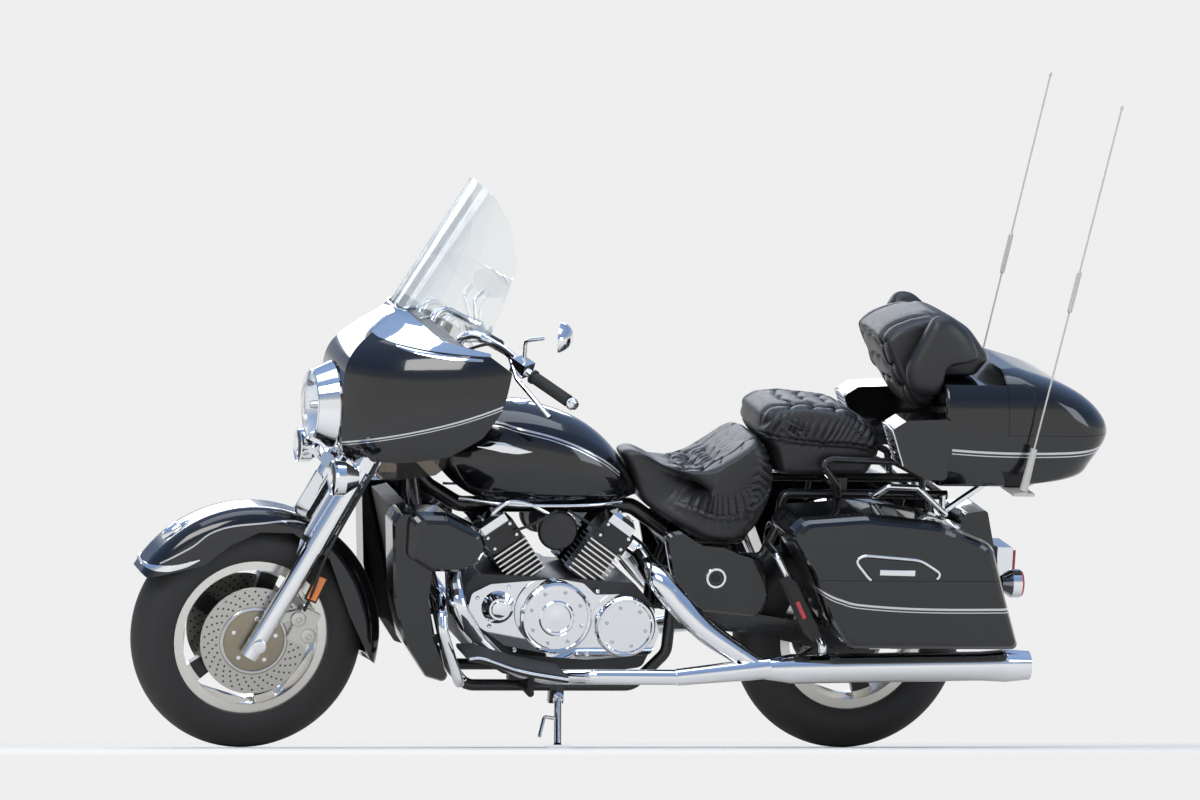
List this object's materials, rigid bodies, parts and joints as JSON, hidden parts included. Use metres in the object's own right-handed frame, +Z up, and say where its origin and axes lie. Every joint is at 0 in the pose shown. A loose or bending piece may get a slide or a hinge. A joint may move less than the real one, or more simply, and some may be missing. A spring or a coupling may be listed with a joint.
{
  "type": "touring cruiser motorcycle",
  "caption": "Full-dress touring cruiser motorcycle leaning on its side stand, with batwing fairing, windscreen, hard saddlebags, trunk with backrest and whip antennas.",
  "frame": {"origin": "centre of the bounding box's footprint on the floor, under the machine as it stands", "axes": "+X towards the front of the machine, +Y to the rider's left, +Z up; the machine leans 13.35 degrees towards +Y onto its side stand"},
  "size_m": [2.6874, 1.1106, 1.9097],
  "materials": {
    "tyre": "black rubber",
    "rim": "polished lip, black spokes",
    "steel": "ground",
    "chrome": "bright chrome",
    "black_paint": "gloss black clear coat",
    "grip_rubber": "ribbed rubber",
    "cast_metal": "silver painted casting",
    "lamp_glass": "clear lens",
    "screen": "clear polycarbonate",
    "smoked": "smoked polycarbonate",
    "dark_plastic": "satin black",
    "frame_paint": "satin black",
    "engine_black": "black with bright fin edges",
    "board_rubber": "ribbed rubber",
    "leather": "soft black leather",
    "red_lens": "red lens and chrome housings",
    "antenna_paint": "grey whip, silver base"
  },
  "bodies": {
    "chassis": {"frame": "frame_paint", "radiator": "dark_plastic", "engine_block": "engine_black", "cylinders": "engine_black", "engine_covers": "chrome", "lower_fairings": "black_paint", "highway_bars": "chrome", "exhausts": "chrome", "floorboards": "board_rubber", "fuel_tank": "black_paint", "rider_seat": "leather", "passenger_seat": "leather", "backrest": "leather", "side_covers": "black_paint", "rear_fender": "black_paint", "swingarm": "frame_paint", "bag_tubs": "black_paint", "trunk_tub": "black_paint", "grab_rails": "frame_paint", "tail_rails": "chrome", "tail_lamps": "red_lens", "antennas": "antenna_paint"},
    "fork": {"fork": "chrome", "front_fender": "black_paint", "handlebar": "chrome", "grips": "grip_rubber", "mirrors": "chrome", "passing_lamps": "chrome", "front_calipers": "cast_metal", "fairing": "black_paint", "fairing_trim": "chrome", "headlight": "lamp_glass", "windscreen": "screen", "dash": "dark_plastic", "deflectors": "smoked"},
    "front_wheel": {"front_tyre": "tyre", "front_rim": "rim", "front_discs": "steel"},
    "rear_wheel": {"rear_tyre": "tyre", "rear_rim": "rim", "rear_disc": "steel"},
    "side_stand": {"side_stand": "chrome"},
    "bag_lid_left": {"bag_lid_left": "black_paint"},
    "bag_lid_right": {"bag_lid_right": "black_paint"},
    "trunk_lid": {"trunk_lid": "black_paint"}
  },
  "joints": [
    {"name": "steering", "type": "hinge", "parent": "chassis", "child": "fork", "pos_m": [0.67402, -0.01204, 0.84859], "axis": [-0.4886, 0.2015, 0.8489], "range_deg": [-38, 30]},
    {"name": "front_wheel_spin", "type": "hinge", "parent": "fork", "child": "front_wheel", "pos_m": [1.02121, -0.13595, 0.31568], "axis": [-0.0609, 0.9627, -0.2635], "continuous": true},
    {"name": "rear_wheel_spin", "type": "hinge", "parent": "chassis", "child": "rear_wheel", "pos_m": [-0.68372, -0.13778, 0.31873], "axis": [0, 0.973, -0.2309], "continuous": true},
    {"name": "side_stand_fold", "type": "hinge", "parent": "chassis", "child": "side_stand", "pos_m": [0.17228, -0.01273, 0.1354], "axis": [0, 0.9581, 0.2865], "range_deg": [0, 80]},
    {"name": "bag_lid_left_hinge", "type": "hinge", "parent": "chassis", "child": "bag_lid_left", "pos_m": [-0.68372, 0.15983, 0.63301], "axis": [1, 0, 0], "range_deg": [0, 35]},
    {"name": "bag_lid_right_hinge", "type": "hinge", "parent": "chassis", "child": "bag_lid_right", "pos_m": [-0.68372, -0.26244, 0.73322], "axis": [-1, 0, 0], "range_deg": [0, 35]},
    {"name": "trunk_lid_hinge", "type": "hinge", "parent": "chassis", "child": "trunk_lid", "pos_m": [-1.03372, 0.04475, 1.08787], "axis": [0, 0.973, -0.2309], "range_deg": [0, 60]}
  ]
}
